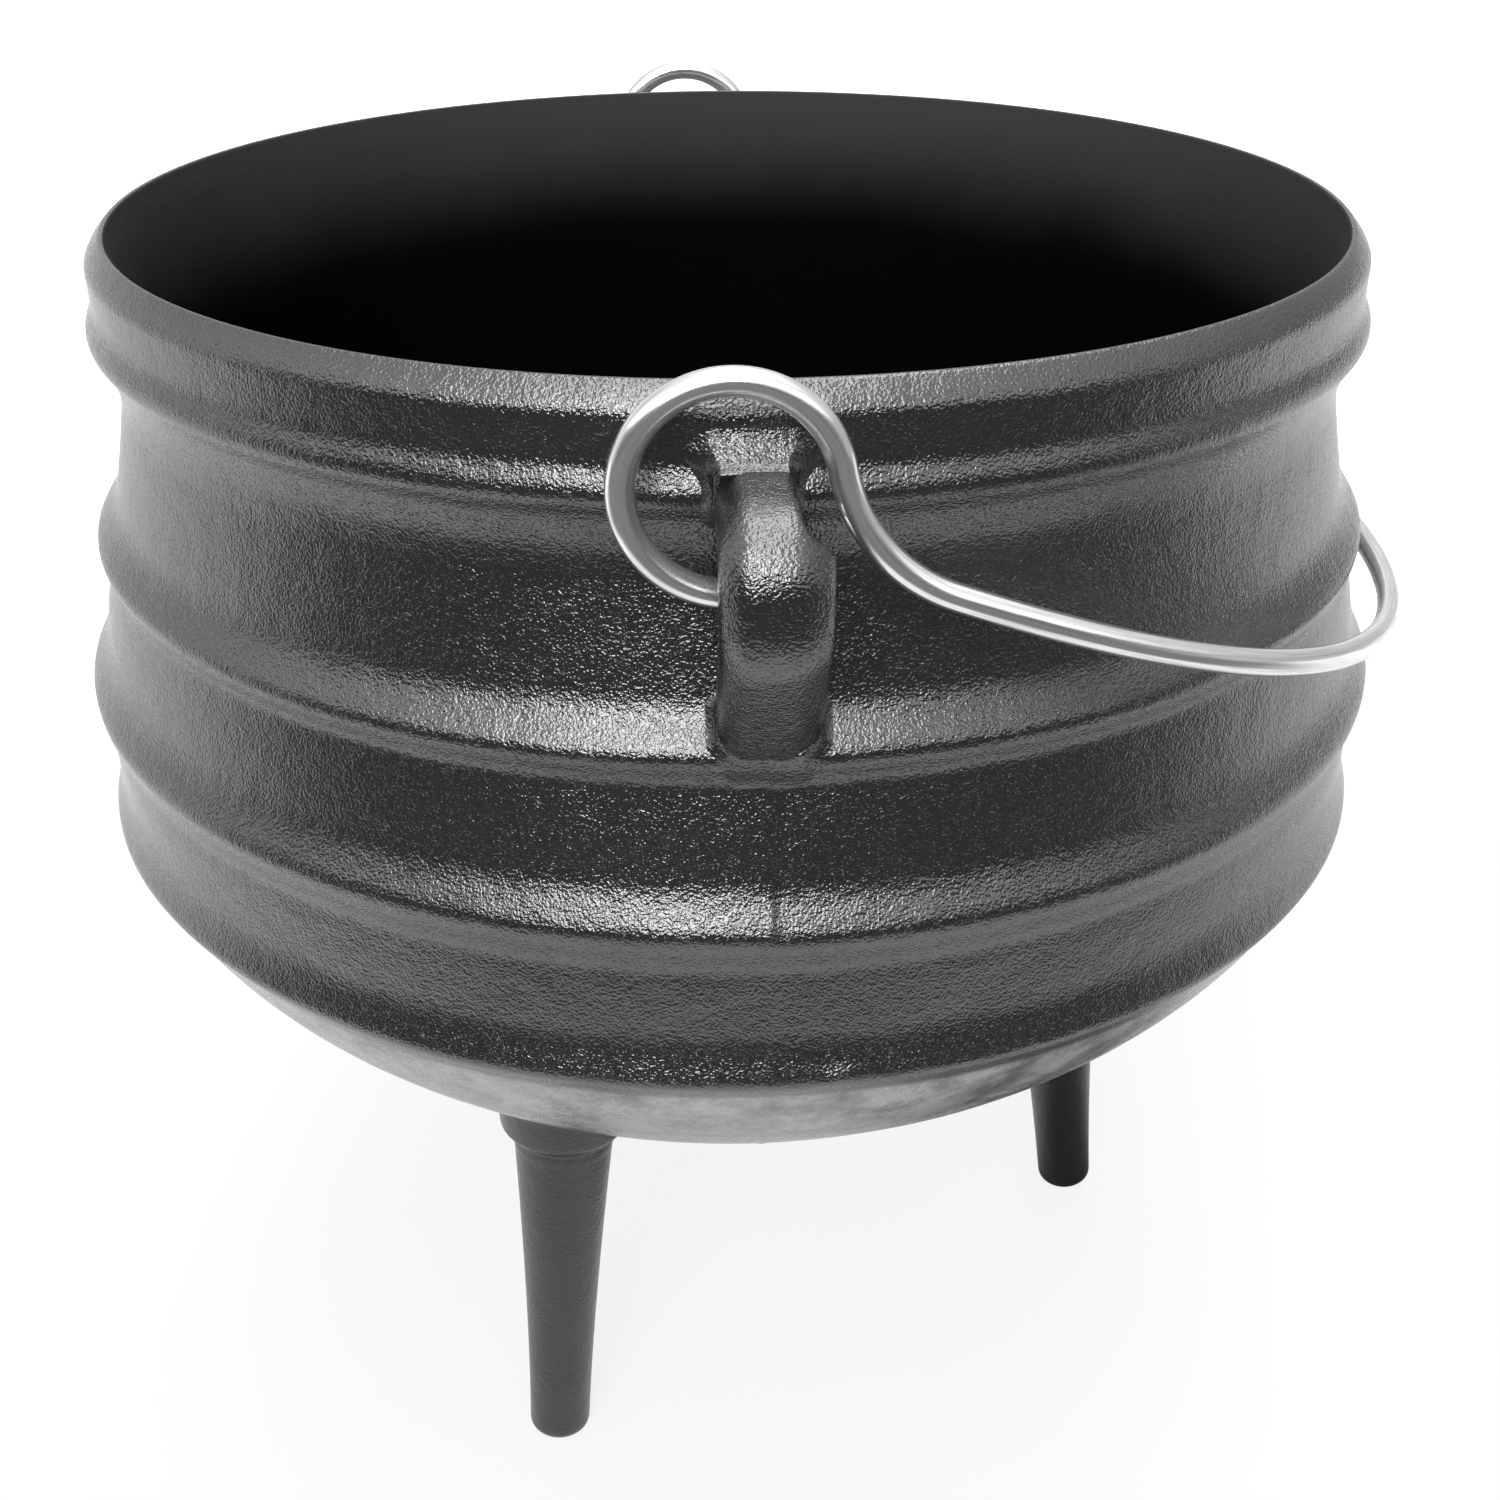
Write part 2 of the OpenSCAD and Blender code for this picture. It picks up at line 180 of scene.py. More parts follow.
class FinishSettings(bpy.types.PropertyGroup):
    """Colours and grain"""
    iron: tint("Iron", "Colour of the black coating", (0.010, 0.010, 0.0104))
    # Painted shade: the inside runs from the lighter colour just below the rim down to this near-black, as shade
    # deeper in the pot.
    inside: tint("Inside", "Colour of the matt inside", (0.0008, 0.0008, 0.0008))
    inside_lit_top: tint("Inside top", "Colour of the inside just below the rim", (0.042, 0.042, 0.042))
    inside_shade_drop: length("Inside fade", "Drop at which the inside is at its blackest", 38 * MM)
    wire: tint("Wire", "Colour of the bright wire", (0.94, 0.945, 0.95))
    grain: length("Grain", "Size of the sand grain in the casting", 0.5 * MM)
    grain_depth: length("Grain depth", "Depth of that grain", 0.2 * MM)
    # Painted light as well as a thin coat: this pale grey stands in for the floor's light reflected up by the
    # base.
    base: tint("Base", "Colour of the thinner, mottled coating on the base", (0.56, 0.56, 0.553))
    floor: tint("Floor", "Colour of the floor in front of the pot", (0.10, 0.10, 0.10))
    floor_pale: tint("Floor pale", "Colour of the floor behind the pot", (0.85, 0.85, 0.85))
    floor_under: tint("Floor under", "Colour of the floor under the pot", (0.16, 0.16, 0.16))


class StageSettings(bpy.types.PropertyGroup):
    """Camera and lamps"""
    camera_place: FloatVectorProperty(
        name="Camera place", description="Where the camera stands", size=3, unit="LENGTH",
        default=(-17.08 * MM, -383.62 * MM, 343.04 * MM))
    camera_down: turn("Camera down", "How far the camera looks down", 28.69)
    camera_right: turn("Camera right", "How far the camera looks to the right of +Y", 3.15)
    camera_roll: turn("Camera roll", "How far the camera is rolled", -0.10)
    lens: FloatProperty(name="Lens", description="Focal length on a 36 mm sensor, in mm", default=45.10)
    key_turn: turn("Key turn", "Direction of the key softbox, to the left of the camera", 14)
    key: share("Key", "Brightness of the key softbox in front of the pot", 8.6, 0.0, 9.0)
    key_top: share("Key top", "Brightness of its upper part, which passes over the pot", 3.6, 0.0, 9.0)
    ring: share("Ring", "Brightness of the softboxes round the pot", 0.6, 0.0, 9.0)
    ring_front: share("Ring front", "What those beside the key add to it", 1.0, 0.0, 9.0)
    ceiling: share("Ceiling", "Brightness of the ceiling", 0.15, 0.0, 9.0)
    surround: share("Surround", "Brightness of the white paper behind the pot", 0.85, 0.0, 2.0)
    surround_front: share("Surround front", "Brightness of the room in front of it", 0.07, 0.0, 2.0)


def bump(drop, crest, rise, fall):
    """A rounded bump: cosine squared, 1 at the crest and 0 past its reach above or below."""
    t = np.where(drop < crest, (crest - drop) / rise, (drop - crest) / fall)
    return np.where(t < 1, np.cos(np.pi / 2 * np.minimum(t, 1)) ** 2, 0.0)


def neck_radius(p):
    return p.mouth - p.flare + p.wall


def plain_wall(p, drop):
    """Upright above the neck, then a cubic that leaves it at the neck's slope and is upright at
    the belly."""
    span = p.belly_drop - p.neck_drop
    t = np.clip((drop - p.neck_drop) / span, 0, 1)
    return neck_radius(p) + p.belly_swell * t * t * (3 - 2 * t) + p.neck_slope * span * t * (1 - t) ** 2


def wall_radius(p, drop):
    """The plain wall with its rim band, the bead on the band and the three ribs."""
    fade = np.where(drop < p.bead_drop, 1.0, bump(drop, p.bead_drop, 1.0, p.band_fade))
    radius = plain_wall(p, drop) + p.band_stand * fade
    radius = radius + p.bead_stand * bump(drop, p.bead_drop, p.bead_reach, p.bead_reach)
    for crest, stand, rise, fall in zip(p.rib_drops, p.rib_stands, p.rib_rises, p.rib_falls):
        above = np.clip((crest - drop) / rise, 0, 1) ** p.rib_crowding * rise
        radius = radius + stand * bump(np.where(drop < crest, crest - above, drop), crest, rise, fall)
    return radius


def base_radius(p, drop, inset=0.0):
    """An ellipse about the base's middle, or the one that lies inset inside it."""
    half_height = p.depth - p.base_drop - inset
    half_width = neck_radius(p) + p.belly_swell + p.base_swell - inset
    return half_width * np.sqrt(np.clip(1 - ((drop - p.base_drop) / half_height) ** 2, 0, 1))


def outer_radius(p, drop):
    """The lip rounds out to the wall, and below the lowest crest the rib falls to the ellipse."""
    t = np.clip(drop / p.lip_drop, 0, 1)
    seat = p.mouth + p.seat
    lip = seat + (wall_radius(p, np.float64(p.lip_drop)) - seat) * t * (3 - t) / 2
    edge = p.rib_drops[2]
    stand = wall_radius(p, np.float64(edge)) - base_radius(p, np.float64(edge))
    under = base_radius(p, drop) + stand * bump(drop, edge, 1.0, p.rib_falls[2])
    return np.where(drop < p.lip_drop, lip, np.where(drop < edge, wall_radius(p, drop), under))


def inner_radius(p, drop):
    """The wall less its thickness, opened out towards the mouth, or the inner ellipse if smaller."""
    t = np.clip(drop / p.flare_drop, 0, 1)
    wall = plain_wall(p, drop) - p.wall + p.flare * (1 - t) ** 2
    return np.where(drop < p.base_drop, wall, np.minimum(wall, base_radius(p, drop, p.wall)))


def wall_distance(p, points):
    """How far points lie outside the pot, across its outline: the radial distance along the wall
    and the distance from the ellipse along the base."""
    across = np.hypot(points[..., 0], points[..., 1])
    drop = p.rim_height - points[..., 2]
    half_width = neck_radius(p) + p.belly_swell + p.base_swell
    half_height = p.depth - p.base_drop
    u = across / half_width
    v = (drop - p.base_drop) / half_height
    reach = np.maximum(np.hypot(u, v), 1e-6)
    steep = np.hypot(u / half_width, v / half_height) / reach
    return np.where(drop < p.rib_drops[2], across - outer_radius(p, drop), (reach - 1) / steep)


def fillet_reach(distance, radius):
    """How far a round fillet stands out at a distance from the surface it meets."""
    u = np.clip(1 - distance / radius, 0, 1)
    return radius * (1 - np.sqrt(1 - u * u))


def trimmed(rings, distance, depth, rows, both_ends=False):
    """Each lengthwise line of the rings is cut where it is depth inside the pot, and its points
    are spread evenly over what is left."""
    count = len(rings)
    inside = distance < -depth
    half = count // 2
    last = half + np.argmax(np.vstack([inside[half:], np.ones_like(inside[:1])]), axis=0) - 1
    first = np.zeros_like(last)
    if both_ends:
        first = half - np.argmax(inside[half::-1], axis=0) + 1
        first = np.where(inside[half::-1].any(axis=0), first, 0)
    place = first + (last - first) * np.linspace(0, 1, rows)[:, None]
    low = np.minimum(place.astype(int), count - 2)
    part = (place - low)[..., None]
    column = np.arange(rings.shape[1])[None, :]
    return rings[low, column] * (1 - part) + rings[low + 1, column] * part


def tube_mesh(name, rings):
    """A closed surface through rings of points, capped at each end by a fan round the ring's own
    middle. Its UV map holds the turn round the ring and the length along it."""
    rows, columns, _ = rings.shape
    poles = np.array([rings[0].mean(0), rings[-1].mean(0)])
    points = np.vstack([rings.reshape(-1, 3), poles])
    row = np.arange(rows - 1)[:, None]
    column = np.arange(columns)[None, :]
    beside = (column + 1) % columns
    quads = np.stack([row * columns + column, row * columns + beside,
                      (row + 1) * columns + beside, (row + 1) * columns + column], -1).reshape(-1, 4)
    ends = np.arange(columns)
    after = (ends + 1) % columns
    top = (rows - 1) * columns
    fans = np.vstack([np.stack([after, ends, np.full(columns, rows * columns)], -1),
                      np.stack([top + ends, top + after, np.full(columns, rows * columns + 1)], -1)])
    volume = np.einsum("ij,ij->i", points[quads[:, 0]],
                       np.cross(points[quads[:, 1]], points[quads[:, 2]])
                       + np.cross(points[quads[:, 2]], points[quads[:, 3]])).sum()
    volume += np.einsum("ij,ij->i", points[fans[:, 0]],
                        np.cross(points[fans[:, 1]], points[fans[:, 2]])).sum()
    around = np.stack([column + 0 * row, column + 1 + 0 * row, column + 1 + 0 * row,
                       column + 0 * row], -1).reshape(-1, 4) / columns
    step = np.linalg.norm(np.diff(rings, axis=0), axis=2).mean(1)
    along = np.concatenate([[0], np.cumsum(step)])
    lengthwise = np.stack([along[row + 0 * column], along[row + 0 * column],
                           along[row + 1 + 0 * column], along[row + 1 + 0 * column]], -1).reshape(-1, 4)
    fan_u = np.tile(np.stack([ends + 1, ends, ends + 0.5], -1) / columns, (2, 1))
    fan_v = np.vstack([np.zeros((columns, 3)), np.full((columns, 3), along[-1])])
    if volume < 0:
        quads, around, lengthwise = quads[:, ::-1], around[:, ::-1], lengthwise[:, ::-1]
        fans, fan_u, fan_v = fans[:, ::-1], fan_u[:, ::-1], fan_v[:, ::-1]
    corners = np.concatenate([quads.ravel(), fans.ravel()])
    starts = np.concatenate([np.arange(len(quads)) * 4, len(quads) * 4 + np.arange(len(fans)) * 3])
    mesh = bpy.data.meshes.new(name)
    mesh.vertices.add(len(points))
    mesh.vertices.foreach_set("co", points.astype(np.float32).ravel())
    mesh.loops.add(len(corners))
    mesh.loops.foreach_set("vertex_index", corners.astype(np.int32))
    mesh.polygons.add(len(starts))
    mesh.polygons.foreach_set("loop_start", starts.astype(np.int32))
    mesh.update(calc_edges=True)
    mesh.validate()
    mesh.polygons.foreach_set("use_smooth", np.ones(len(mesh.polygons), bool))
    u = np.concatenate([around.ravel(), fan_u.ravel()])
    v = np.concatenate([lengthwise.ravel(), fan_v.ravel()])
    mesh.uv_layers.new(name="along").data.foreach_set("uv", np.stack([u, v], -1).astype(np.float32).ravel())
    return mesh


def add_piece(mesh, body, nodes, materials):
    """Links a finished mesh, gives it its materials, hangs it under its body's empty and hides the frame's parts
    that it stands for.
    """
    piece = bpy.data.objects.new(mesh.name, mesh)
    bpy.context.scene.collection.objects.link(piece)
    for material in materials:
        mesh.materials.append(material)
    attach(piece, body)
    if nodes:
        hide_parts(*nodes)
    return piece


def crowded_turns(count, crowding):
    """Angles round the pot, closer together at the front and back ears: an even turn plus a share
    of the sine of twice that turn."""
    even = np.linspace(0, 2 * np.pi, count, endpoint=False)
    return even + crowding * np.sin(2 * even)


# Marks of the casting near the lowest rib: turn in degrees, drop, half width, half height and
# how far each stands out
MARKS = ((-85.1, 115.9 * MM, 2.4 * MM, 1.3 * MM, 0.45 * MM), (-87.4, 127.6 * MM, 2.6 * MM, 0.9 * MM, -0.5 * MM),
         (-84.6, 125.3 * MM, 2.6 * MM, 0.9 * MM, -0.5 * MM), (-92.6, 132.1 * MM, 1.5 * MM, 1.2 * MM, -0.45 * MM),
         (-86.9, 133.5 * MM, 1.3 * MM, 1.0 * MM, -0.4 * MM), (-99.5, 128.8 * MM, 2.2 * MM, 1.1 * MM, 0.35 * MM),
         (-71.0, 124.0 * MM, 3.0 * MM, 1.2 * MM, 0.4 * MM), (-112.0, 121.5 * MM, 1.8 * MM, 1.2 * MM, -0.35 * MM))


def cast_radius(p, angle, drop):
    """Outside radius of the casting at turns and drops: the outline, with the marks of its mould.

    Beside the seam, in the plane through both ears, the +X half sits a little lower, which fades
    away round the pot. The seam itself is a thin raised line, and slow waves in turn and height
    make the casting uneven.
    """
    near_seam = np.abs(np.cos(angle)) * p.mouth
    lower = np.where(np.cos(angle) > 0, 1.0, 0.0) * np.exp(-near_seam / (18 * MM))
    radius = outer_radius(p, drop - p.mismatch * lower * bump(drop, 80 * MM, 52 * MM, 42 * MM))
    ridge = np.exp(-(near_seam / (0.55 * MM)) ** 2)
    radius = radius + p.seam * ridge * np.clip((drop - 20 * MM) / (20 * MM), 0, 1)
    wave = (np.sin(3 * angle + 1.3) * np.sin(drop * 55 + 0.4)
            + 0.6 * np.sin(7 * angle + 2.1) * np.sin(drop * 110 + 1.9)
            + 0.35 * np.sin(17 * angle + drop * 190)) / 1.95
    for turn_degrees, place, wide, high, stand in MARKS:
        away = np.angle(np.exp(1j * (angle - math.radians(turn_degrees)))) * p.mouth
        radius = radius + stand * np.exp(-(away / wide) ** 2 - ((drop - place) / high) ** 2)
    return radius - p.waviness * (0.5 - 0.5 * wave) * np.clip(drop / (8 * MM), 0, 1)


def turned(p, angle, radius, drop):
    """Points at a turn, a radius and a drop."""
    return np.stack([radius * np.cos(angle), radius * np.sin(angle), p.rim_height - drop], -1)


def shell_rings(p):
    """Rows that run from the bottom of the outside up to the lip, over it and down the inside,
    each the outline turned round Z."""
    angle = crowded_turns(p.columns, 0.33)[None, :]
    fine_end = p.rib_drops[2] + 20 * MM
    half_height = p.depth - p.base_drop
    start = math.asin((fine_end - p.base_drop) / half_height)
    base = p.base_drop + half_height * np.sin(np.linspace(np.pi / 2, start, 24)[1:-1])
    drop = np.concatenate([base, np.linspace(fine_end, 0.9 * MM, 146), [0.45 * MM, 0.12 * MM]])[:, None]
    lip_turn = np.linspace(0, np.pi / 2, 6)[1:, None]
    lip_round = 0.9 * MM
    lip_drop = lip_round * (1 - np.cos(lip_turn))
    inner_half = half_height - p.wall
    inner_base = p.base_drop + inner_half * np.sin(np.linspace(0, np.pi / 2, 26)[1:-1])
    inner_drop = np.concatenate([np.linspace(2.5 * MM, p.base_drop, 22), inner_base])[:, None]
    flat = np.ones_like(angle)
    return np.vstack([
        turned(p, angle, cast_radius(p, angle, drop), drop * flat),
        turned(p, angle, p.mouth + lip_round * (1 - np.sin(lip_turn)), lip_drop * flat),
        turned(p, angle, inner_radius(p, inner_drop), inner_drop * flat)])


def rounded_sections(corners, cut, steps=6):
    """Each corner of each ring of corners becomes a quadratic curve between points that lie cut
    before and after it, or a third of the way to its neighbour if that is nearer."""
    def towards(other):
        gap = other - corners
        size = np.maximum(np.linalg.norm(gap, axis=2, keepdims=True), 1e-9)
        return corners + gap * np.minimum(cut / size, 0.36)
    before = towards(np.roll(corners, 1, axis=1))
    after = towards(np.roll(corners, -1, axis=1))
    t = np.linspace(0, 1, steps)[None, None, :, None]
    curve = ((1 - t) ** 2 * before[:, :, None] + 2 * t * (1 - t) * corners[:, :, None]
             + t * t * after[:, :, None])
    return curve.reshape(len(corners), -1, 3)


def ear_path(p, e):
    """Points and outward angles of the ear's outer line, X out from the pot and Y up from the rim,
    with the thickness and the width on the bow's side."""
    top = np.array([e.face - e.top_bend, -e.top_drop - e.top_bend])
    heel = np.array([e.face - e.heel_bend, -e.heel_drop + e.heel_bend * math.tan(e.lean / 2)])
    arm_side = e.arm - e.bar / 2
    bend = np.linspace(np.pi / 2, 0, 30)
    grown = np.clip((e.shoulder - bend) / e.shoulder_turn + 0.5, 0, 1)
    grown = grown * grown * (3 - 2 * grown)
    turns = np.linspace(0, -e.lean, 14)
    run = np.linspace(0, (e.face - neck_radius(p)) / math.sin(e.lean), 60)[1:]
    lean = -e.lean
    points = np.vstack([
        [[neck_radius(p) - p.wall / 2, -e.top_drop]],
        top + e.top_bend * np.stack([np.cos(bend), np.sin(bend)], -1),
        heel + e.heel_bend * np.stack([np.cos(turns), np.sin(turns)], -1),
        heel + e.heel_bend * np.array([math.cos(lean), math.sin(lean)])
        + run[:, None] * np.array([math.sin(lean), -math.cos(lean)])])
    angles = np.concatenate([[np.pi / 2], bend, turns, np.full(len(run), lean)])
    flat = len(turns) + len(run)
    thick = np.concatenate([[e.arm_depth],
                            e.bar_depth + (e.arm_depth - e.bar_depth) * bend / (np.pi / 2),
                            np.full(flat, e.bar_depth)])
    side = np.concatenate([[arm_side], arm_side + (e.bar / 2 - arm_side) * grown,
                           np.full(flat, e.bar / 2)])
    return points, angles, thick, side


def resampled(values, places, spacing):
    """Rows at even spacing along a path, by straight interpolation between the given rows."""
    step = np.linalg.norm(np.diff(places, axis=0), axis=1)
    along = np.concatenate([[0], np.cumsum(step)])
    even = np.linspace(0, along[-1], int(along[-1] / spacing) + 1)
    columns = np.asarray(values).reshape(len(values), -1)
    return np.stack([np.interp(even, along, c) for c in columns.T], -1)


def ear_rings(p, e, side_sign):
    """A six-cornered section carried along the ear's outer line, its corners rounded, and cut off
    inside the wall. side_sign is -1 for the front ear and +1 for its mirror image at the back."""
    points, angles, thick, side = ear_path(p, e)
    table = resampled(np.column_stack([points, angles, thick, side]), points, 0.55 * MM)
    points, (angles, thick, side) = table[:, :2], table[:, 2:].T
    half = e.bar / 2
    arm_side = e.arm - half
    zero = np.zeros_like(thick)
    across = np.stack([zero - arm_side, zero + half - e.slope, zero + half, zero + half, -side, -side], -1)
    inward = np.stack([zero, zero, zero + e.slope, thick, thick, zero + e.slope], -1)
    out = points[:, None, 0] - inward * np.cos(angles)[:, None]
    up = points[:, None, 1] - inward * np.sin(angles)[:, None]
    corners = np.stack([-across, side_sign * out, p.rim_height + up], -1)
    rings = rounded_sections(corners, e.rounding)
    return trimmed(rings, wall_distance(p, rings), 2 * MM, 190, both_ends=True)


def outline_distance(outline, out, up):
    """Signed distance from points to a closed outline: negative inside."""
    start = outline
    edge = np.roll(outline, -1, axis=0) - start
    to = np.stack([out, up], -1)[:, None] - start
    t = np.clip((to * edge).sum(2) / np.maximum((edge * edge).sum(1), 1e-12), 0, 1)
    near = np.linalg.norm(to - t[..., None] * edge, axis=2).min(1)
    y0, y1 = start[:, 1], start[:, 1] + edge[:, 1]
    crosses = (y0 > up[:, None]) != (y1 > up[:, None])
    at = start[:, 0] + edge[:, 0] * (up[:, None] - y0) / np.where(edge[:, 1] == 0, 1e-12, edge[:, 1])
    inside = (crosses & (out[:, None] < at)).sum(1) % 2 == 1
    return np.where(inside, -near, near)


def ear_distance(p, e, points):
    """Distance from points beside the front ear to the ear's two arms, each taken as its outline
    in the upright plane, as wide as the arm is there, with the sloped edges taken off."""
    line, angles, thick, _ = (column[::3] for column in ear_path(p, e))
    back = line - thick[:, None] * np.stack([np.cos(angles), np.sin(angles)], -1)
    half = e.bar / 2
    top = angles > e.shoulder
    side = e.arm - half
    out, up, across = -points[:, 1], points[:, 2] - p.rim_height, -points[:, 0]
    nearest = np.full(len(points), 1.0)
    for part, low, high, edge in ((top, -side, half, e.rounding / 2), (angles < 0.02, -half, half, e.slope)):
        outline = np.vstack([line[part], back[part][::-1]])
        flat = outline_distance(outline, out, up)
        beside = np.maximum(low - across, across - high)
        distance = np.hypot(np.maximum(flat, 0), np.maximum(beside, 0))
        distance = distance + np.minimum(np.maximum(flat, beside), 0)
        distance = np.maximum(distance, (flat + beside + edge) / math.sqrt(2))
        nearest = np.minimum(nearest, distance)
    return nearest


def hollow_grid(p):
    """Turns and drops of the patch of wall round the front ear."""
    angle = np.linspace(-20 * MM, 20 * MM, 160)[None, :] / neck_radius(p) - np.pi / 2
    return angle, np.linspace(1.2 * MM, 68 * MM, 200)[:, None]


def hollow_rise(p, e):
    """How far the wall rises round the front ear: a round fillet on the distance to the ear, which
    is repeated because that distance changes with the rise. Its reach shrinks from the root of the
    top arm to the lower arm."""
    angle, drop = hollow_grid(p)
    wall = turned(p, angle, outer_radius(p, drop), drop * np.ones_like(angle))
    outward = np.stack([np.cos(angle), np.sin(angle), np.zeros_like(angle)], -1)
    reach = np.interp(drop, np.array([9.5, 14.5, 28, 36]) * MM,
                      [e.root_fillet, e.side_fillet, e.side_fillet, e.heel_fillet])
    rise = np.zeros(wall.shape[:2])
    for _ in range(12):
        distance = ear_distance(p, e, (wall + rise[..., None] * outward).reshape(-1, 3))
        rise = (rise + fillet_reach(np.maximum(distance.reshape(rise.shape), 0), reach)) / 2
    return rise


def hollow_rings(p, rise, side_sign):
    """The hollows round an ear, as a patch that stands out from the wall by the rise, closed by a
    plain back inside it. Where nothing rises, the patch dips just under the wall."""
    angle, drop = hollow_grid(p)
    angle = angle * -side_sign
    wall = turned(p, angle, cast_radius(p, angle, drop), drop * np.ones_like(angle))
    outward = np.stack([np.cos(angle), np.sin(angle), np.zeros_like(angle)], -1)
    dip = 0.15 * MM * np.exp(-rise / (0.15 * MM))
    front = wall + (rise - dip)[..., None] * outward
    back = (wall - 0.6 * MM * outward)[:, ::-8]
    return np.concatenate([front, back], axis=1)


def leg_rings(p, g, foot, columns=96):
    """A line turned about the leaning axis of a leg: a rounded foot, a shank that widens with the
    1.5th power of the height, a faint ring and a collar. It spreads into the base by a round
    fillet, is cut off inside the wall and stands flat on the floor."""
    height = np.linspace(0, 118 * MM, 473)
    edge = np.sqrt(np.clip(1 - np.clip(1 - height / g.foot_edge, 0, 1) ** 2, 0, 1))
    rounded_foot = g.foot - g.foot_edge * (1 - edge)
    shank = g.foot + (g.shank_top - g.foot) * np.clip(height / g.shank, 0, 1) ** 1.5
    collar_end = g.shank + g.collar_length
    collar = g.shank_top + (g.collar - g.shank_top) * np.clip((height - g.shank) / g.collar_length, 0, 1)
    above = p.wall * np.clip((height - collar_end) / (height[-1] - collar_end), 0, 1)
    line = np.where(height < g.shank, shank, collar + above)
    kernel = np.hanning(9)
    padded = np.pad(line, 4, mode="edge")
    line = np.convolve(padded, kernel / kernel.sum(), mode="valid")
    line = np.minimum(line, np.where(height < g.foot_edge, rounded_foot, 1.0))
    line = line + 0.14 * MM * bump(height, g.ring_height, 1.5 * MM, 1.5 * MM)
    around = np.linspace(0, 2 * np.pi, columns, endpoint=False)
    uneven = 1 + 0.012 * np.sin(2 * around + 0.7) * np.clip(height / (30 * MM), 0, 1)[:, None]
    radius = line[:, None] * uneven
    lean = -g.spread
    axis = np.array([math.sin(lean), 0, math.cos(lean)])
    side = np.array([math.cos(lean), 0, -math.sin(lean)])
    spokes = np.cos(around)[:, None] * side + np.sin(around)[:, None] * np.array([0, 1, 0])
    out = math.hypot(foot[0], foot[1])
    middle = np.array([out, 0, 0]) + height[:, None] * axis
    rings = middle[:, None] + radius[..., None] * spokes
    reach = fillet_reach(wall_distance(p, rings), g.fillet)[..., None]
    rings = rings + reach * spokes
    rings[..., 2] = np.maximum(rings[..., 2], 0)
    rings = trimmed(rings, wall_distance(p, rings), 2 * MM, 150)
    bearing = math.atan2(foot[1], foot[0])
    c, s = math.cos(bearing), math.sin(bearing)
    return rings @ np.array([[c, s, 0], [-s, c, 0], [0, 0, 1]])


def bail_path(p, b):
    """Points of the wire's middle line and the two directions of its cross-section.

    The ring is most of a circle in an upright plane. An arc turned the other way leads into the
    stem. The bow is a quarter of a squared ellipse, in a plane that droops from the rings to the
    tip, and the far half is its mirror image.
    """
    x0, _, z0 = SWING["pos_m"]
    end = np.array([b.tip_out - x0, p.rim_height - b.tip_drop - z0])
    far = float(np.hypot(*end))
    droop = math.atan2(-end[1], end[0]) - math.asin(b.bow_offset / far)
    reach = math.sqrt(far * far - b.bow_offset ** 2)
    stem = math.asin((b.stem_bend - b.bow_offset) / (b.ring + b.stem_bend))
    leave = stem - droop
    start = (b.ring + b.stem_bend) * math.cos(stem)

    def flat(x, z, heading):
        """Points and directions in the ring's upright plane."""
        one = np.ones_like(x)
        place = np.stack([x0 + x, -b.ring_out * one, z0 + z], -1)
        first = np.stack([0 * one, one, 0 * one], -1)
        second = np.stack([-np.sin(heading), 0 * one, np.cos(heading)], -1)
        return np.concatenate([place, first, second], -1)

    round_ring = np.linspace(leave + 2 * np.pi - b.opening, leave, 240)
    ring = flat(b.ring * np.cos(round_ring), b.ring * np.sin(round_ring), round_ring - np.pi / 2)
    bend = np.linspace(leave + np.pi, 3 * np.pi / 2 - droop, 80)[1:]
    across_bend = b.ring + b.stem_bend
    stem_arc = flat(across_bend * math.cos(leave) + b.stem_bend * np.cos(bend),
                    across_bend * math.sin(leave) + b.stem_bend * np.sin(bend), bend + np.pi / 2)
    a = np.linspace(0, np.pi / 2, 900)[1:]
    power = 2 / b.squareness
    along = start + (reach - start) * np.sin(a) ** power
    across = -b.ring_out * np.abs(np.cos(a)) ** power
    run = (reach - start) * np.sin(a) ** (power - 1) * np.abs(np.cos(a))
    rise = b.ring_out * np.maximum(np.abs(np.cos(a)), 1e-9) ** (power - 1) * np.sin(a)
    size = np.hypot(run, rise)
    one = np.ones_like(a)
    cd, sd = math.cos(droop), math.sin(droop)
    bow = np.stack([x0 + along * cd - b.bow_offset * sd, across, z0 - b.bow_offset * cd - along * sd,
                    -cd * rise / size, run / size, sd * rise / size, sd * one, 0 * one, cd * one], -1)
    near = np.vstack([ring, stem_arc, bow])
    mirror = np.tile([1, -1, 1], 3)
    path = np.vstack([near, (near * mirror)[-2::-1]])
    return resampled(path, path[:, :3], 1.0 * MM)


def bail_rings(p, b, sides=24):
    """A round section carried along the wire's middle line, with its two ends eased like a sheared
    and filed wire."""
    path = bail_path(p, b)
    place, first, second = path[:, :3], path[:, 3:6], path[:, 6:]
    first = first / np.linalg.norm(first, axis=1, keepdims=True)
    second = second / np.linalg.norm(second, axis=1, keepdims=True)
    eased = np.array([0.72, 0.9, 0.985])
    heading = np.cross(first, second)
    steps = np.array([0.0, 0.15, 0.5])[:, None] * MM
    ends = [place[0] + steps * heading[0], place[-1] - steps[::-1] * heading[-1]]
    place = np.vstack([ends[0], place[1:-1], ends[1]])
    first = np.vstack([np.tile(first[0], (3, 1)), first[1:-1], np.tile(first[-1], (3, 1))])
    second = np.vstack([np.tile(second[0], (3, 1)), second[1:-1], np.tile(second[-1], (3, 1))])
    radius = b.wire * np.concatenate([eased, np.ones(len(place) - 6), eased[::-1]])
    around = np.linspace(0, 2 * np.pi, sides, endpoint=False)
    spokes = (np.cos(around)[None, :, None] * first[:, None]
              + np.sin(around)[None, :, None] * second[:, None])
    return place[:, None] + radius[:, None, None] * spokes


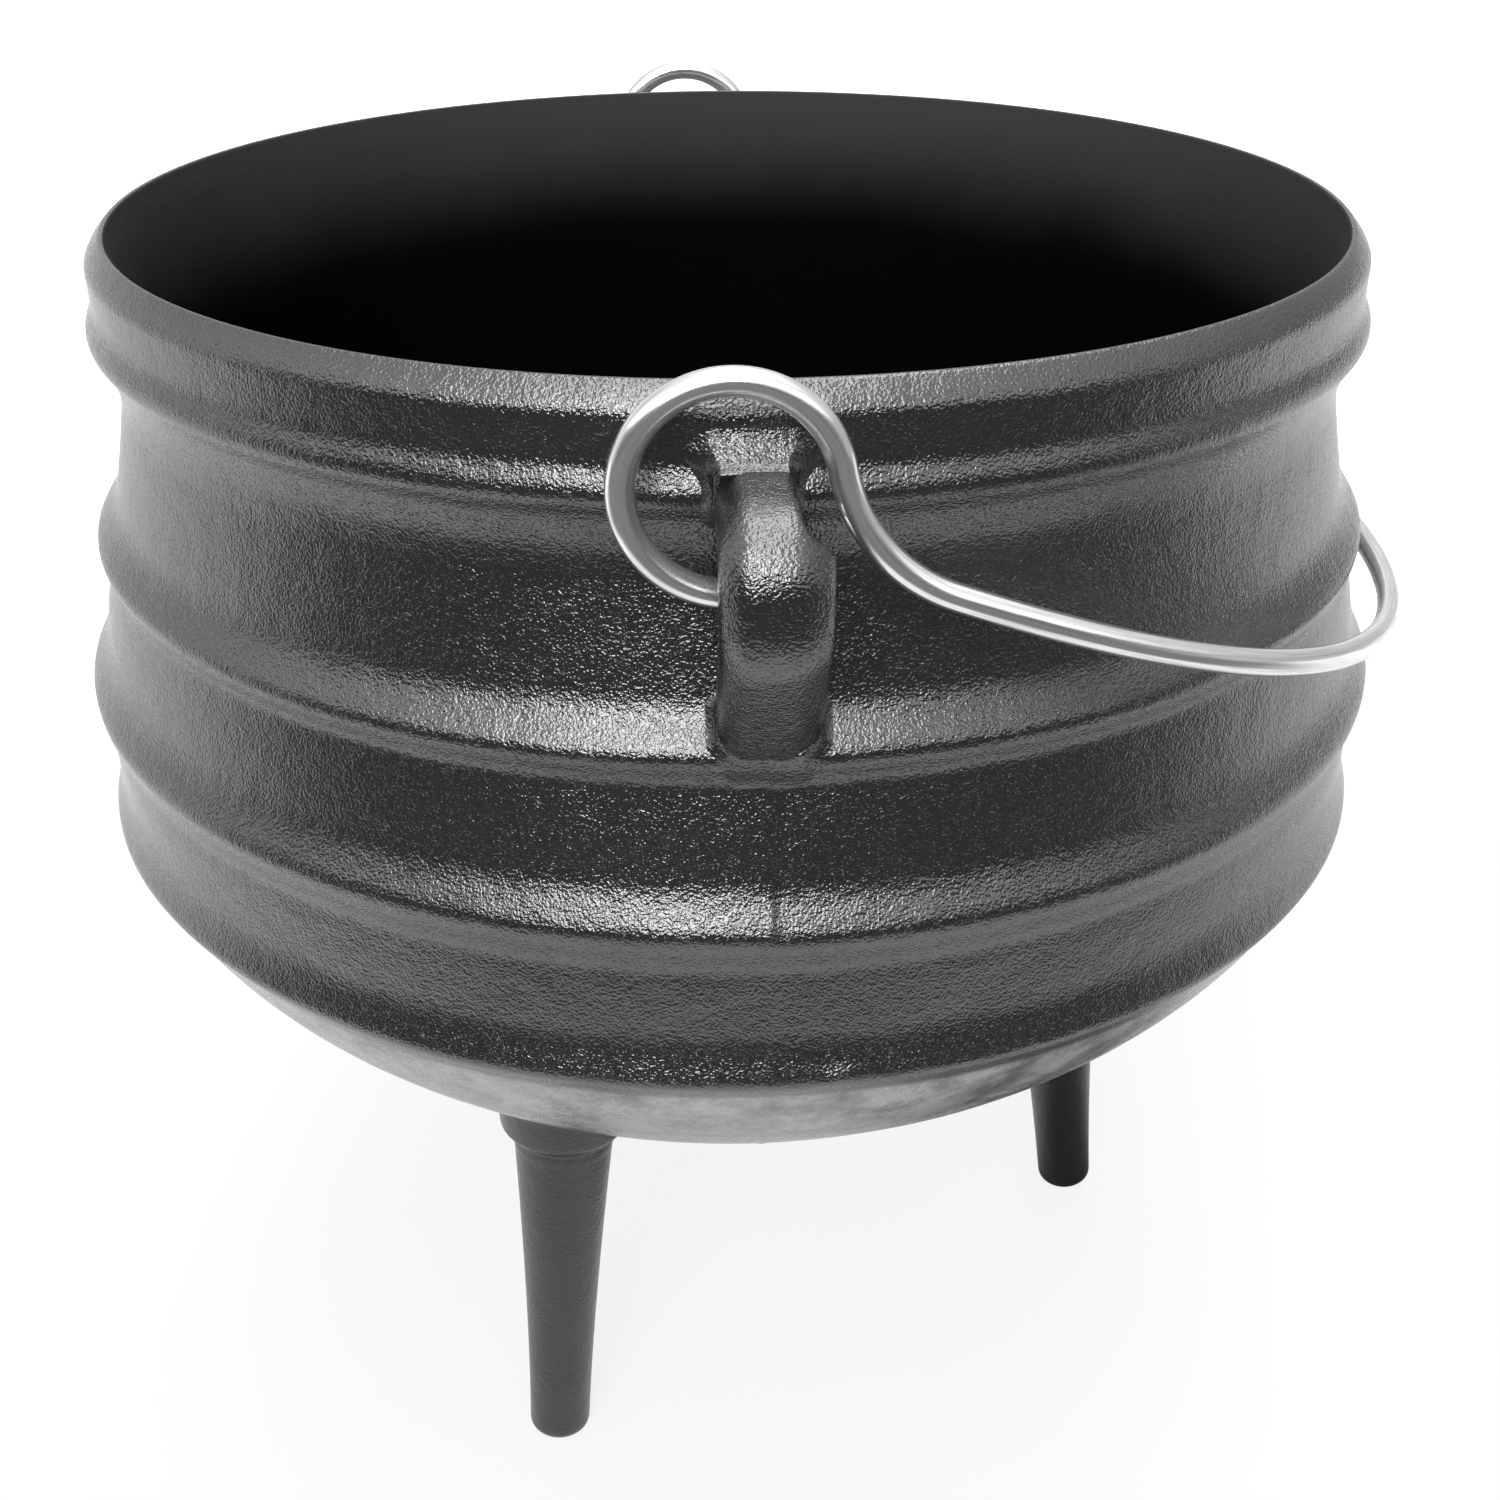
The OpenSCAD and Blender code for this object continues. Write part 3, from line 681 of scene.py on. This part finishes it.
def socket(group, name, kind, direction, default=None):
    """Adds a named input or output to a shader node group."""
    made = group.interface.new_socket(name=name, in_out=direction, socket_type=kind)
    if default is not None:
        made.default_value = default
    return made


def new_node(tree, kind, **settings):
    """Adds a node and sets its own settings."""
    node = tree.nodes.new(kind)
    for key, value in settings.items():
        setattr(node, key, value)
    return node


def math_node(tree, operation, first, second, clamp=False):
    """A Math node fed by sockets or plain numbers."""
    node = new_node(tree, "ShaderNodeMath", operation=operation, use_clamp=clamp)
    for place, value in enumerate((first, second)):
        if isinstance(value, bpy.types.NodeSocket):
            tree.links.new(value, node.inputs[place])
        else:
            node.inputs[place].default_value = value
    return node.outputs[0]


def noise(tree, vector, scale, detail=2.0, roughness=0.5):
    """A noise texture whose scale is a number or a socket."""
    node = new_node(tree, "ShaderNodeTexNoise")
    node.inputs["Detail"].default_value = detail
    node.inputs["Roughness"].default_value = roughness
    tree.links.new(vector, node.inputs["Vector"])
    if isinstance(scale, bpy.types.NodeSocket):
        tree.links.new(scale, node.inputs["Scale"])
    else:
        node.inputs["Scale"].default_value = scale
    return node.outputs["Fac"]


def remapped(tree, value, low, high, to_low, to_high, easing="LINEAR"):
    """A value carried from one range to another, held at its ends."""
    node = new_node(tree, "ShaderNodeMapRange", interpolation_type=easing)
    tree.links.new(value, node.inputs["Value"])
    for name, number in (("From Min", low), ("From Max", high), ("To Min", to_low), ("To Max", to_high)):
        node.inputs[name].default_value = number
    return node.outputs["Result"]


def cast_grain_group():
    """Sand-cast grain: blunt grains about Size across, over coarser lumps and a slow unevenness.
    Height is for a Bump node."""
    group = bpy.data.node_groups.new("cast grain", "ShaderNodeTree")
    socket(group, "Place", "NodeSocketVector", "INPUT")
    socket(group, "Size", "NodeSocketFloat", "INPUT", 1 * MM)
    socket(group, "Height", "NodeSocketFloat", "OUTPUT")
    start = new_node(group, "NodeGroupInput")
    end = new_node(group, "NodeGroupOutput")
    place = start.outputs["Place"]
    scale = math_node(group, "DIVIDE", 1.0, start.outputs["Size"])
    grains = noise(group, place, scale, 1.0)
    lumps = noise(group, place, math_node(group, "MULTIPLY", scale, 0.38), 0.0)
    slow = noise(group, place, math_node(group, "MULTIPLY", scale, 0.08), 1.0)
    coarse = math_node(group, "MULTIPLY_ADD", lumps, 0.4)
    group.links.new(grains, coarse.node.inputs[2])
    height = math_node(group, "MULTIPLY_ADD", slow, 1.2)
    group.links.new(coarse, height.node.inputs[2])
    group.links.new(height, end.inputs["Height"])
    return group


def principled(name):
    """A material with an empty Principled shader."""
    material = bpy.data.materials.new(name)
    material.use_nodes = True
    return material, material.node_tree, material.node_tree.nodes["Principled BSDF"]


def iron_material(name, settings, group, rough, ior, edge):
    """Black-coated cast iron: grain in bump, colour and sheen that drift over the surface. Below
    the lowest rib, at the height edge, the coating is thin and mottled over grey iron, and that
    grey is made pale as painted light: it stands in for the floor's light reflected by the base."""
    material, tree, shader = principled(name)
    place = new_node(tree, "ShaderNodeTexCoord").outputs["Object"]
    grain = new_node(tree, "ShaderNodeGroup", node_tree=group)
    tree.links.new(place, grain.inputs["Place"])
    grain.inputs["Size"].default_value = settings.grain
    relief = new_node(tree, "ShaderNodeBump")
    relief.inputs["Strength"].default_value = 1.0
    relief.inputs["Distance"].default_value = settings.grain_depth
    tree.links.new(grain.outputs["Height"], relief.inputs["Height"])
    tree.links.new(relief.outputs["Normal"], shader.inputs["Normal"])
    drift = noise(tree, place, 26.0, 3.0)
    tone = new_node(tree, "ShaderNodeMix", data_type="RGBA")
    tree.links.new(remapped(tree, drift, 0.35, 0.65, 0.0, 1.0), tone.inputs["Factor"])
    tone.inputs["A"].default_value = [0.7 * c for c in settings.iron] + [1]
    tone.inputs["B"].default_value = [1.3 * c for c in settings.iron] + [1]
    height = new_node(tree, "ShaderNodeSeparateXYZ")
    tree.links.new(place, height.inputs["Vector"])
    low = remapped(tree, height.outputs["Z"], edge - 2.5 * MM, edge, 1.0, 0.0, "SMOOTHSTEP")
    mottle = remapped(tree, noise(tree, place, 95.0, 5.0, 0.65), 0.36, 0.6, 0.25, 1.0)
    above_legs = remapped(tree, height.outputs["Z"], 0.080, 0.092, 0.0, 1.0, "SMOOTHSTEP")
    # The thin mottled coat on the base, made pale as painted light from the floor.
    thin_coat_and_floor_light = math_node(tree, "MULTIPLY", math_node(tree, "MULTIPLY", low, mottle), above_legs)
    coat_and_floor_light_mix = new_node(tree, "ShaderNodeMix", data_type="RGBA")
    tree.links.new(thin_coat_and_floor_light, coat_and_floor_light_mix.inputs["Factor"])
    tree.links.new(tone.outputs["Result"], coat_and_floor_light_mix.inputs["A"])
    coat_and_floor_light_mix.inputs["B"].default_value = [*settings.base, 1]
    tree.links.new(coat_and_floor_light_mix.outputs["Result"], shader.inputs["Base Color"])
    sheen = math_node(tree, "MULTIPLY_ADD", thin_coat_and_floor_light, 0.12)
    tree.links.new(remapped(tree, drift, 0.3, 0.7, rough + 0.03, rough - 0.03), sheen.node.inputs[2])
    tree.links.new(sheen, shader.inputs["Roughness"])
    shader.inputs["IOR"].default_value = ior
    return material


def inside_material(name, settings, group, rim):
    """The matt inside, grey below the rim and black further down: painted light near the rim and painted shade
    deeper in the pot.
    """
    material, tree, shader = principled(name)
    place = new_node(tree, "ShaderNodeTexCoord").outputs["Object"]
    grain = new_node(tree, "ShaderNodeGroup", node_tree=group)
    tree.links.new(place, grain.inputs["Place"])
    grain.inputs["Size"].default_value = settings.grain
    relief = new_node(tree, "ShaderNodeBump")
    relief.inputs["Strength"].default_value = 0.6
    relief.inputs["Distance"].default_value = settings.grain_depth
    tree.links.new(grain.outputs["Height"], relief.inputs["Height"])
    tree.links.new(relief.outputs["Normal"], shader.inputs["Normal"])
    height = new_node(tree, "ShaderNodeSeparateXYZ")
    tree.links.new(place, height.inputs["Vector"])
    # Painted light and shade: the inside's colour runs from lighter below the rim to black with the drop, its
    # edge wandering a little.
    wander = math_node(tree, "MULTIPLY_ADD", noise(tree, place, 22.0, 3.0), 0.012)
    tree.links.new(height.outputs["Z"], wander.node.inputs[2])
    tone = new_node(tree, "ShaderNodeMix", data_type="RGBA")
    low = rim - settings.inside_shade_drop + 0.006
    tree.links.new(remapped(tree, wander, low, rim + 0.004, 0.0, 1.0, "SMOOTHERSTEP"), tone.inputs["Factor"])
    tone.inputs["A"].default_value = [*settings.inside, 1]
    tone.inputs["B"].default_value = [*settings.inside_lit_top, 1]
    tree.links.new(tone.outputs["Result"], shader.inputs["Base Color"])
    shader.inputs["Roughness"].default_value = 0.8
    shader.inputs["Specular IOR Level"].default_value = 0.06
    return material


def wire_material(name, settings):
    """Bright plated wire: fine marks along its length from the drawing, in bump and sheen."""
    material, tree, shader = principled(name)
    uv = new_node(tree, "ShaderNodeUVMap", uv_map="along").outputs["UV"]
    stretch = new_node(tree, "ShaderNodeMapping")
    stretch.inputs["Scale"].default_value = (26.0, 60.0, 1.0)
    tree.links.new(uv, stretch.inputs["Vector"])
    marks = noise(tree, stretch.outputs["Vector"], 1.0, 4.0, 0.6)
    relief = new_node(tree, "ShaderNodeBump")
    relief.inputs["Strength"].default_value = 0.6
    relief.inputs["Distance"].default_value = 0.03 * MM
    tree.links.new(marks, relief.inputs["Height"])
    tree.links.new(relief.outputs["Normal"], shader.inputs["Normal"])
    tree.links.new(remapped(tree, marks, 0.35, 0.7, 0.14, 0.28), shader.inputs["Roughness"])
    tone = new_node(tree, "ShaderNodeMix", data_type="RGBA")
    tree.links.new(remapped(tree, marks, 0.4, 0.75, 0.0, 1.0), tone.inputs["Factor"])
    tone.inputs["A"].default_value = [*settings.wire, 1]
    tone.inputs["B"].default_value = [0.7 * c for c in settings.wire] + [1]
    tree.links.new(tone.outputs["Result"], shader.inputs["Base Color"])
    shader.inputs["Metallic"].default_value = 0.9
    return material


def floor_material(name, settings):
    """A pale floor that the camera sees as white paper with the pot's shadow. It is paler under
    and behind the pot than in front, and near the pot it glows in reflections only: painted light
    for the pot to reflect, brighter to the left and with a painted shadow where the far leg stands."""
    material, tree, shader = principled(name)
    place = new_node(tree, "ShaderNodeTexCoord").outputs["Object"]
    reach = new_node(tree, "ShaderNodeVectorMath", operation="LENGTH")
    tree.links.new(place, reach.inputs[0])
    near = remapped(tree, reach.outputs["Value"], 0.31, 0.42, 1.0, 0.0, "SMOOTHSTEP")
    parts = new_node(tree, "ShaderNodeSeparateXYZ")
    tree.links.new(place, parts.inputs["Vector"])
    behind = remapped(tree, parts.outputs["Y"], -0.32, 0.12, 0.0, 1.0, "SMOOTHSTEP")
    tone = new_node(tree, "ShaderNodeMix", data_type="RGBA")
    tree.links.new(behind, tone.inputs["Factor"])
    tone.inputs["A"].default_value = [*settings.floor, 1]
    tone.inputs["B"].default_value = [*settings.floor_pale, 1]
    under = new_node(tree, "ShaderNodeMix", data_type="RGBA")
    tree.links.new(near, under.inputs["Factor"])
    tree.links.new(tone.outputs["Result"], under.inputs["A"])
    under.inputs["B"].default_value = [*settings.floor_under, 1]
    tree.links.new(under.outputs["Result"], shader.inputs["Base Color"])
    shader.inputs["Roughness"].default_value = 0.9
    shader.inputs["Specular IOR Level"].default_value = 0.0
    path = new_node(tree, "ShaderNodeLightPath")
    # Painted shadow: the glow that reflections see fades out round the spot where the far leg stands, and it is
    # painted brighter to the left.
    shade = new_node(tree, "ShaderNodeVectorMath", operation="DISTANCE")
    tree.links.new(place, shade.inputs[0])
    shade.inputs[1].default_value = (0.105, -0.05, 0)
    lit = math_node(tree, "MULTIPLY",
                    remapped(tree, shade.outputs["Value"], 0.04, 0.09, 0.0, 0.75, "SMOOTHSTEP"),
                    remapped(tree, parts.outputs["X"], -0.26, -0.12, 1.4, 1.0, "SMOOTHSTEP"))
    painted_floor_glow = math_node(tree, "MULTIPLY", path.outputs["Is Glossy Ray"],
                         math_node(tree, "MULTIPLY", near, lit))
    seen = math_node(tree, "MULTIPLY", path.outputs["Is Camera Ray"],
                     remapped(tree, near, 0.0, 1.0, 0.90, 0.81))
    shader.inputs["Emission Color"].default_value = (1, 1, 1, 1)
    tree.links.new(math_node(tree, "ADD", seen, painted_floor_glow), shader.inputs["Emission Strength"])
    return material


def made_materials(context):
    """The finishes, made once and found again by name."""
    settings = context.scene.pot_finish
    if "iron outside" not in bpy.data.materials:
        grain = cast_grain_group()
        sizes = context.scene.pot_sizes
        base_edge = sizes.rim_height - sizes.rib_drops[2] - 3 * MM
        iron_material("iron outside", settings, grain, 0.17, 2.1, base_edge)
        iron_material("iron legs", settings, grain, 0.27, 1.7, 0)
        inside_material("iron inside", settings, grain, sizes.rim_height)
        wire_material("bright wire", settings)
    return bpy.data.materials


class MakeShell(bpy.types.Operator):
    """Make the cast shell of the pot: belly, lip, bead, ribs, base and inside"""
    bl_idname = "pot.make_shell"
    bl_label = "Shell"

    def execute(self, context):
        p = context.scene.pot_sizes
        materials = made_materials(context)
        mesh = tube_mesh("shell", shell_rings(p))
        add_piece(mesh, "pot", ["pot_shell"],
                  [materials["iron outside"], materials["iron inside"]])
        middles = np.zeros(len(mesh.polygons) * 3)
        mesh.polygons.foreach_get("center", middles)
        middles = middles.reshape(-1, 3)
        across = np.hypot(middles[:, 0], middles[:, 1])
        drop = p.rim_height - middles[:, 2]
        inside = across < inner_radius(p, drop) + 0.5 * MM
        mesh.polygons.foreach_set("material_index", inside.astype(np.int32))
        return {"FINISHED"}


class MakeEars(bpy.types.Operator):
    """Make the two cast ears that carry the bail"""
    bl_idname = "pot.make_ears"
    bl_label = "Ears"

    def execute(self, context):
        sizes, ears = context.scene.pot_sizes, context.scene.ear_sizes
        iron = made_materials(context)["iron outside"]
        rise = hollow_rise(sizes, ears)
        for node, side_sign in (("front_ear", -1), ("back_ear", 1)):
            mesh = tube_mesh(node.replace("ear", "lug"), ear_rings(sizes, ears, side_sign))
            add_piece(mesh, "pot", [node], [iron])
            mesh = tube_mesh(node.replace("ear", "hollow"), hollow_rings(sizes, rise, side_sign))
            add_piece(mesh, "pot", [], [iron])
        return {"FINISHED"}


class MakeLegs(bpy.types.Operator):
    """Make the three cast legs"""
    bl_idname = "pot.make_legs"
    bl_label = "Legs"

    def execute(self, context):
        sizes, legs = context.scene.pot_sizes, context.scene.leg_sizes
        iron = made_materials(context)["iron legs"]
        for name, foot in sorted(FEET.items()):
            node = name.replace("_foot", "_leg")
            mesh = tube_mesh(node + "_cast", leg_rings(sizes, legs, foot))
            add_piece(mesh, "pot", [node], [iron])
        return {"FINISHED"}


class MakeBail(bpy.types.Operator):
    """Make the wire bail with its two rings"""
    bl_idname = "pot.make_bail"
    bl_label = "Bail"

    def execute(self, context):
        sizes, bail = context.scene.pot_sizes, context.scene.bail_sizes
        wire = made_materials(context)["bright wire"]
        mesh = tube_mesh("bail_wire", bail_rings(sizes, bail))
        add_piece(mesh, "bail", ["bail"], [wire])
        return {"FINISHED"}


class SetStage(bpy.types.Operator):
    """Set the floor, the lamps, the background and the camera"""
    bl_idname = "pot.set_stage"
    bl_label = "Stage"

    def execute(self, context):
        scene = context.scene
        stage = scene.stage_settings
        self.add_floor(context)
        self.light_world(scene, stage)
        self.add_camera(scene, stage)
        scene.view_settings.view_transform = "Standard"
        return {"FINISHED"}

    def add_floor(self, context):
        """A flat disc: rings of even turns at growing radii."""
        radius = np.linspace(0.05, 4.0, 24)[:, None]
        turns = np.linspace(0, 2 * np.pi, 96, endpoint=False)[None, :]
        rim = np.stack([radius * np.cos(turns), radius * np.sin(turns), 0 * radius * turns], -1)
        rows, columns = rim.shape[:2]
        points = np.vstack([rim.reshape(-1, 3), [[0, 0, 0]]])
        row, column = np.arange(rows - 1)[:, None], np.arange(columns)[None, :]
        beside = (column + 1) % columns
        quads = np.stack([row * columns + column, (row + 1) * columns + column,
                          (row + 1) * columns + beside, row * columns + beside], -1).reshape(-1, 4)
        fan = np.stack([np.arange(columns), (np.arange(columns) + 1) % columns,
                        np.full(columns, rows * columns)], -1)
        mesh = bpy.data.meshes.new("floor")
        mesh.from_pydata(points.tolist(), [], quads.tolist() + fan.tolist())
        mesh.materials.append(floor_material("floor", context.scene.pot_finish))
        floor = bpy.data.objects.new("floor", mesh)
        context.scene.collection.objects.link(floor)

    def light_world(self, scene, stage):
        """A studio of soft light. White surroundings reach 19 degrees up, and above them a ring of
        softboxes goes round the pot under a dim ceiling. The key softbox is a broad strip that
        starts low in front of the pot and passes over it. The camera sees all of it white."""
        world = bpy.data.worlds.new("studio")
        scene.world = world
        world.use_nodes = True
        tree = world.node_tree
        background = tree.nodes["Background"]
        way = new_node(tree, "ShaderNodeSeparateXYZ")
        tree.links.new(new_node(tree, "ShaderNodeTexCoord").outputs["Generated"], way.inputs["Vector"])
        key = Vector((-math.sin(stage.key_turn), -math.cos(stage.key_turn)))

        def along(direction):
            """How far the light's direction points along a level one."""
            part = math_node(tree, "MULTIPLY", way.outputs["X"], direction[0])
            both = math_node(tree, "MULTIPLY_ADD", way.outputs["Y"], direction[1])
            tree.links.new(part, both.node.inputs[2])
            return both

        def eased(value, low, high, to_low, to_high):
            return remapped(tree, value, low, high, to_low, to_high, "SMOOTHSTEP")
        ahead = along(key)
        aside = math_node(tree, "ABSOLUTE", along((-key.y, key.x)), 0.0)
        rise = way.outputs["Z"]
        lit = eased(rise, 0.30, 0.36, 0.0, 1.0)
        ring = math_node(tree, "MULTIPLY", eased(rise, 0.58, 0.70, 1.0, 0.0),
                         eased(ahead, -0.35, 0.6, stage.ring, stage.ring + stage.ring_front))
        room = math_node(tree, "ADD", ring, eased(rise, 0.58, 0.70, 0.0, stage.ceiling))
        strip = math_node(tree, "MULTIPLY", eased(aside, 0.10, 0.38, 1.0, 0.0),
                          eased(ahead, -0.75, -0.6, 0.0, 1.0))
        strip = math_node(tree, "MULTIPLY", strip, eased(rise, 0.6, 0.8, stage.key, stage.key_top))
        lamps = math_node(tree, "MULTIPLY", lit, math_node(tree, "MAXIMUM", room, strip))
        paper = math_node(tree, "MULTIPLY", eased(rise, 0.30, 0.36, 1.0, 0.0),
                          eased(ahead, -0.1, 0.7, stage.surround, stage.surround_front))
        paper = math_node(tree, "MULTIPLY", paper, eased(way.outputs["X"], 0.1, 0.9, 1.0, 0.5))
        path = new_node(tree, "ShaderNodeLightPath")
        sky = math_node(tree, "MULTIPLY", path.outputs["Is Glossy Ray"], eased(rise, 0.55, 0.75, 0.0, 0.9))
        light = math_node(tree, "ADD", math_node(tree, "ADD", lamps, paper), sky)
        shown = new_node(tree, "ShaderNodeMix", data_type="FLOAT")
        tree.links.new(path.outputs["Is Camera Ray"], shown.inputs["Factor"])
        tree.links.new(light, shown.inputs["A"])
        shown.inputs["B"].default_value = 1.0
        background.inputs["Color"].default_value = (1, 1, 1, 1)
        tree.links.new(shown.outputs["Result"], background.inputs["Strength"])

    def add_camera(self, scene, stage):
        """The camera looks down and to the right of +Y, and is rolled a little."""
        down, right, roll = stage.camera_down, stage.camera_right, stage.camera_roll
        ahead = Vector((math.cos(down) * math.sin(right), math.cos(down) * math.cos(right),
                        -math.sin(down)))
        beside = Vector((math.cos(right), -math.sin(right), 0))
        up = beside.cross(ahead)
        rolled = math.cos(roll) * beside + math.sin(roll) * up
        rolled_up = math.cos(roll) * up - math.sin(roll) * beside
        data = bpy.data.cameras.new("camera")
        data.lens, data.sensor_width, data.sensor_fit = stage.lens, 36.0, "HORIZONTAL"
        data.clip_start = 0.01
        camera = bpy.data.objects.new("camera", data)
        axes = Matrix((rolled, rolled_up, -ahead)).transposed()
        camera.matrix_world = Matrix.Translation(stage.camera_place) @ axes.to_4x4()
        scene.collection.objects.link(camera)
        scene.camera = camera


class PotPanel(bpy.types.Panel):
    """Lists the pieces of the pot"""
    bl_idname = "VIEW3D_PT_iron_pot"
    bl_label = "Iron Cooking Pot"
    bl_space_type = "VIEW_3D"
    bl_region_type = "UI"
    bl_category = "Pot"

    def draw(self, context):
        for maker in MAKERS:
            self.layout.operator(maker.bl_idname)


MAKERS = (MakeShell, MakeEars, MakeLegs, MakeBail, SetStage)
GROUPS = {"pot_sizes": PotSizes, "ear_sizes": EarSizes, "leg_sizes": LegSizes,
          "bail_sizes": BailSizes, "pot_finish": FinishSettings, "stage_settings": StageSettings}


def register():
    for item in (*GROUPS.values(), *MAKERS, PotPanel):
        bpy.utils.register_class(item)
    for name, group in GROUPS.items():
        setattr(bpy.types.Scene, name, PointerProperty(type=group))


def unregister():
    for name in GROUPS:
        delattr(bpy.types.Scene, name)
    for item in reversed((*GROUPS.values(), *MAKERS, PotPanel)):
        bpy.utils.unregister_class(item)


def main():
    """Makes every piece and the stage."""
    register()
    bpy.ops.pot.make_shell()
    bpy.ops.pot.make_ears()
    bpy.ops.pot.make_legs()
    bpy.ops.pot.make_bail()
    bpy.ops.pot.set_stage()


if __name__ == "__main__":
    main()
